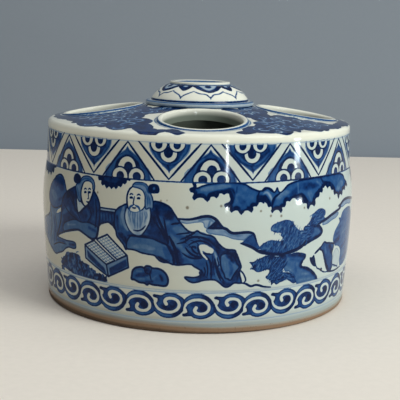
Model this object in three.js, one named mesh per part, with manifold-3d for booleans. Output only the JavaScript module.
// Porcelain brush and ink stand: a low drum, closed by a coned top that four round
// apertures pierce around a raised central boss. Millimetres, +Z up, origin at the
// centre of the foot, on the surface that the stand rests on. -Y is the painted front.
//
// It is built the way a potter builds it: thrown and cut sections, luted one on another
// with slip before glazing. Each section is its own solid, and the luting seams are level
// faces. The base disc and the cap's spigot drop into their seats with a slip gap.
import * as THREE from "three";
import { mergeVertices } from "three/addons/utils/BufferGeometryUtils.js";
import Module from "manifold-3d";

const wasm = await Module();
wasm.setup();

// Section heights, from the table up
const FOOT_HEIGHT = 3.2;
const LOWER_WALL_HEIGHT = 64.3;
const UPPER_WALL_HEIGHT = 16.5;
const RIM_HEIGHT = 3.6;

// Drum wall: outer radii, and the depth of the widest girth below the waist seam
const FOOT_RADIUS = 75.3;
const BELLY_RADIUS = 77.8;
const WAIST_RADIUS = 75.8;
const RIM_RADIUS = 75;
const BELLY_DROP = 19.5;
const WALL = 5.5;

// Foot rim, left unglazed, and the base disc that stands on its inner ledge
const FOOT_WIDTH = 9;
const FOOT_BEVEL = 0.8;
const BASE_THICKNESS = 5;
const SLIP_GAP = 0.3;

// Coned top: its slope is the rise in height for each unit of radius
const TOP_SLOPE = 0.148;
const TOP_THICKNESS = 4.6;
const RIM_ROUND = 2;
const RIM_BORDER = 6;

// Rolled lip of each aperture: the radius of the roll, and how far it stands proud
const LIP_ROUND = 1.4;
const LIP_PROUD = 0.6;
const LIP_TO_BOSS = 0.4;

// Bearings of the apertures round the boss, in degrees from +X; each is cut by hand
const APERTURE_BEARINGS = [-88, 0, 91, 180];

// Boss: a beaded foot, a domed shoulder and a dished cap. A fullness of 2 makes the shoulder's
// section a quarter ellipse, and a lower one draws it towards a straight slope
const BOSS_FOOT_RADIUS = 27.2;
const BOSS_FOOT_HEIGHT = 2.4;
const BOSS_FOOT_STEP = 2.8;
const BOSS_WALL = 4;
const DOME_TOP_RADIUS = 15.2;
const DOME_HEIGHT = 7.9;
const DOME_FULLNESS = 1.4;
const CAP_STEP = 0.2;
const CAP_HEIGHT = 1.4;
const CAP_ROUND = 0.6;
const CAP_RIM_WIDTH = 2.4;
const DISH_DEPTH = 1.2;
const DISH_SLOPE_WIDTH = 1;
const SPIGOT_DEPTH = 2.6;

const DRUM_SEGMENTS = 90;
const BOSS_SEGMENTS = 52;
const APERTURE_SEGMENTS = 40;

// Seams and girths that follow from the section heights
const WAIST_SEAM = FOOT_HEIGHT + LOWER_WALL_HEIGHT;
const RIM_SEAM = WAIST_SEAM + UPPER_WALL_HEIGHT;
const BELLY_HEIGHT = WAIST_SEAM - BELLY_DROP;
const SLOPE_ANGLE = Math.atan(TOP_SLOPE);

// The apertures fill the ring between the boss and the plain border of the rim
const LIP_REACH = LIP_ROUND + Math.sqrt(LIP_ROUND ** 2 - (LIP_ROUND - LIP_PROUD) ** 2);
const RING_INNER = BOSS_FOOT_RADIUS + LIP_TO_BOSS;
const RING_OUTER = RIM_RADIUS - RIM_BORDER;
const APERTURE_CENTRE = (RING_INNER + RING_OUTER) / 2;
const APERTURE_RADIUS = (RING_OUTER - RING_INNER) / 2 - LIP_REACH;

const DOME_FOOT_RADIUS = BOSS_FOOT_RADIUS - BOSS_FOOT_STEP;
const BOSS_HOLLOW_RADIUS = DOME_FOOT_RADIUS - BOSS_WALL;
const NECK_RADIUS = DOME_TOP_RADIUS - BOSS_WALL;

const glaze = new THREE.MeshStandardMaterial({ color: 0xdfe3dc, roughness: 0.12, metalness: 0 });
const cobalt = new THREE.MeshStandardMaterial({ color: 0x2f4a86, roughness: 0.14, metalness: 0 });
const biscuit = new THREE.MeshStandardMaterial({ color: 0xa8714c, roughness: 0.8, metalness: 0 });

// Outer radius of the drum at a height: it swells from the foot to the belly, draws in
// again on a parabola to the waist, and tapers from there to the rim
function drumRadius(height) {
  if (height <= BELLY_HEIGHT) {
    const down = (BELLY_HEIGHT - height) / BELLY_HEIGHT;
    return BELLY_RADIUS - (BELLY_RADIUS - FOOT_RADIUS) * down ** 1.35;
  }
  if (height <= WAIST_SEAM) {
    const up = (height - BELLY_HEIGHT) / BELLY_DROP;
    return BELLY_RADIUS - (BELLY_RADIUS - WAIST_RADIUS) * up ** 2;
  }
  const up = (height - WAIST_SEAM) / UPPER_WALL_HEIGHT;
  return WAIST_RADIUS - (WAIST_RADIUS - RIM_RADIUS) * up;
}

// Height of the coned top's upper face at a radius
function topHeight(radius) {
  return RIM_SEAM + RIM_HEIGHT + (RIM_RADIUS - radius) * TOP_SLOPE;
}

const BOSS_SEAT = topHeight(BOSS_FOOT_RADIUS);
const DOME_SEAT = BOSS_SEAT + BOSS_FOOT_HEIGHT;
const CAP_SEAT = DOME_SEAT + DOME_HEIGHT;

// Points along an elliptic arc, from one angle to another, in degrees
function arc(centre, radii, from, to, steps) {
  return Array.from({ length: steps + 1 }, (_, i) => {
    const angle = THREE.MathUtils.degToRad(from + ((to - from) * i) / steps);
    return [centre[0] + radii[0] * Math.cos(angle), centre[1] + radii[1] * Math.sin(angle)];
  });
}

// Solid of revolution about +Z from [radius, height] points, listed counter-clockwise
function turned(points, segments) {
  const profile = [...points, points[0]].map(([radius, height]) => new THREE.Vector2(radius, height));
  return new THREE.LatheGeometry(profile, segments).rotateX(Math.PI / 2);
}

function toSolid(geometry) {
  geometry.deleteAttribute("normal");
  geometry.deleteAttribute("uv");
  const merged = mergeVertices(geometry, 1e-4);
  return new wasm.Manifold(
    new wasm.Mesh({
      numProp: 3,
      vertProperties: merged.attributes.position.array,
      triVerts: new Uint32Array(merged.index.array),
    })
  );
}

function toGeometry(manifold) {
  const mesh = manifold.getMesh();
  const geometry = new THREE.BufferGeometry();
  geometry.setAttribute("position", new THREE.BufferAttribute(new Float32Array(mesh.vertProperties), 3));
  geometry.setIndex(new THREE.BufferAttribute(new Uint32Array(mesh.triVerts), 1));
  geometry.computeVertexNormals();
  return geometry;
}

// A length of the drum wall: the outer girth curve, and the same curve set in by the wall
function wallSection(low, high, steps) {
  const heights = Array.from({ length: steps + 1 }, (_, i) => low + ((high - low) * i) / steps);
  const outer = heights.map((height) => [drumRadius(height), height]);
  const inner = heights.map((height) => [drumRadius(height) - WALL, height]).reverse();
  return turned([...outer, ...inner], DRUM_SEGMENTS);
}

function footRim() {
  const inner = FOOT_RADIUS - FOOT_WIDTH;
  const profile = [
    [inner + FOOT_BEVEL, 0],
    [FOOT_RADIUS - FOOT_BEVEL, 0],
    [drumRadius(FOOT_BEVEL), FOOT_BEVEL],
    [drumRadius(FOOT_HEIGHT), FOOT_HEIGHT],
    [inner, FOOT_HEIGHT],
    [inner, FOOT_BEVEL],
  ];
  return turned(profile, DRUM_SEGMENTS);
}

function baseDisc() {
  const top = FOOT_HEIGHT + BASE_THICKNESS;
  const radius = drumRadius(FOOT_HEIGHT) - WALL - SLIP_GAP;
  return turned([[0, FOOT_HEIGHT], [radius, FOOT_HEIGHT], [radius, top], [0, top]], DRUM_SEGMENTS);
}

// Sets a shape that was turned about +Z square to the coned top, over an aperture's centre
function onCone(geometry, bearing) {
  geometry.rotateY(SLOPE_ANGLE);
  geometry.translate(APERTURE_CENTRE, 0, topHeight(APERTURE_CENTRE));
  return geometry.rotateZ(THREE.MathUtils.degToRad(bearing));
}

// Bore of an aperture, which opens out at the height where the rolled lip is widest
function apertureBore(bearing) {
  const reach = 3 * TOP_THICKNESS;
  const lipCentre = APERTURE_RADIUS + LIP_ROUND;
  const shoulder = LIP_PROUD - LIP_ROUND;
  const lower = [[0, -reach], [APERTURE_RADIUS, -reach], [APERTURE_RADIUS, shoulder]];
  const upper = [[lipCentre, shoulder], [lipCentre, reach], [0, reach]];
  return toSolid(onCone(turned([...lower, ...upper], APERTURE_SEGMENTS), bearing));
}

function rolledLip(bearing) {
  const centre = [APERTURE_RADIUS + LIP_ROUND, LIP_PROUD - LIP_ROUND];
  const roll = arc(centre, [LIP_ROUND, LIP_ROUND], 0, 324, 9);
  return toSolid(onCone(turned(roll, APERTURE_SEGMENTS), bearing));
}

function topPlate() {
  const roundCentre = [
    RIM_RADIUS - RIM_ROUND,
    topHeight(RIM_RADIUS - RIM_ROUND) - RIM_ROUND / Math.cos(SLOPE_ANGLE),
  ];
  const roundEnd = 90 - THREE.MathUtils.radToDeg(SLOPE_ANGLE);
  const rim = arc(roundCentre, [RIM_ROUND, RIM_ROUND], 0, roundEnd, 4);
  const crown = [
    [BOSS_FOOT_RADIUS, BOSS_SEAT],
    [BOSS_HOLLOW_RADIUS, BOSS_SEAT],
    [BOSS_HOLLOW_RADIUS, BOSS_SEAT - TOP_THICKNESS],
  ];
  const wallInner = RIM_RADIUS - WALL;
  const underEdge = wallInner - TOP_THICKNESS;
  const under = [
    [BOSS_FOOT_RADIUS, BOSS_SEAT - TOP_THICKNESS],
    [underEdge, topHeight(underEdge) - TOP_THICKNESS],
    [wallInner, RIM_SEAM],
  ];
  let plate = toSolid(turned([[RIM_RADIUS, RIM_SEAM], ...rim, ...crown, ...under], DRUM_SEGMENTS));
  for (const bearing of APERTURE_BEARINGS) {
    plate = plate.subtract(apertureBore(bearing)).add(rolledLip(bearing));
  }
  return toGeometry(plate);
}

function bossFoot() {
  const round = BOSS_FOOT_HEIGHT / 2;
  const bead = arc([BOSS_FOOT_RADIUS - round, BOSS_SEAT + round], [round, round], -90, 90, 6);
  return turned([[BOSS_HOLLOW_RADIUS, BOSS_SEAT], ...bead, [BOSS_HOLLOW_RADIUS, DOME_SEAT]], BOSS_SEGMENTS);
}

// Points along a quarter of a superellipse on the dome's seat, from its foot up to its neck
function domeCurve(neck, swell, rise, steps) {
  return Array.from({ length: steps + 1 }, (_, i) => {
    const angle = (Math.PI / 2) * (i / steps);
    const power = 2 / DOME_FULLNESS;
    const across = Math.max(0, Math.cos(angle)) ** power;
    return [neck + swell * across, DOME_SEAT + rise * Math.sin(angle) ** power];
  });
}

// Domed shell that ends in a short upright neck for the cap's spigot
function bossDome() {
  const swell = DOME_FOOT_RADIUS - DOME_TOP_RADIUS;
  const outer = domeCurve(DOME_TOP_RADIUS, swell, DOME_HEIGHT, 7);
  const inner = domeCurve(NECK_RADIUS, swell, DOME_HEIGHT - BOSS_WALL, 5).reverse();
  return turned([...outer, [NECK_RADIUS, CAP_SEAT], ...inner], BOSS_SEGMENTS);
}

function bossCap() {
  const radius = DOME_TOP_RADIUS - CAP_STEP;
  const top = CAP_SEAT + CAP_HEIGHT;
  const dish = radius - CAP_RIM_WIDTH;
  const edge = arc([radius - CAP_ROUND, top - CAP_ROUND], [CAP_ROUND, CAP_ROUND], 0, 90, 3);
  const spigot = [
    [0, CAP_SEAT - SPIGOT_DEPTH],
    [NECK_RADIUS - SLIP_GAP, CAP_SEAT - SPIGOT_DEPTH],
    [NECK_RADIUS - SLIP_GAP, CAP_SEAT],
    [radius, CAP_SEAT],
  ];
  const recess = [[dish, top], [dish - DISH_SLOPE_WIDTH, top - DISH_DEPTH], [0, top - DISH_DEPTH]];
  return turned([...spigot, ...edge, ...recess], BOSS_SEGMENTS);
}

const stand = new THREE.Group();

function add(name, geometry, material) {
  const mesh = new THREE.Mesh(geometry, material);
  mesh.name = name;
  stand.add(mesh);
}

add("foot_rim", footRim(), biscuit);
add("base_disc", baseDisc(), glaze);
add("lower_wall", wallSection(FOOT_HEIGHT, WAIST_SEAM, 7), glaze);
add("upper_wall", wallSection(WAIST_SEAM, RIM_SEAM, 3), glaze);
add("top_plate", topPlate(), cobalt);
add("boss_foot", bossFoot(), glaze);
add("boss_dome", bossDome(), glaze);
add("boss_cap", bossCap(), glaze);

export default stand;
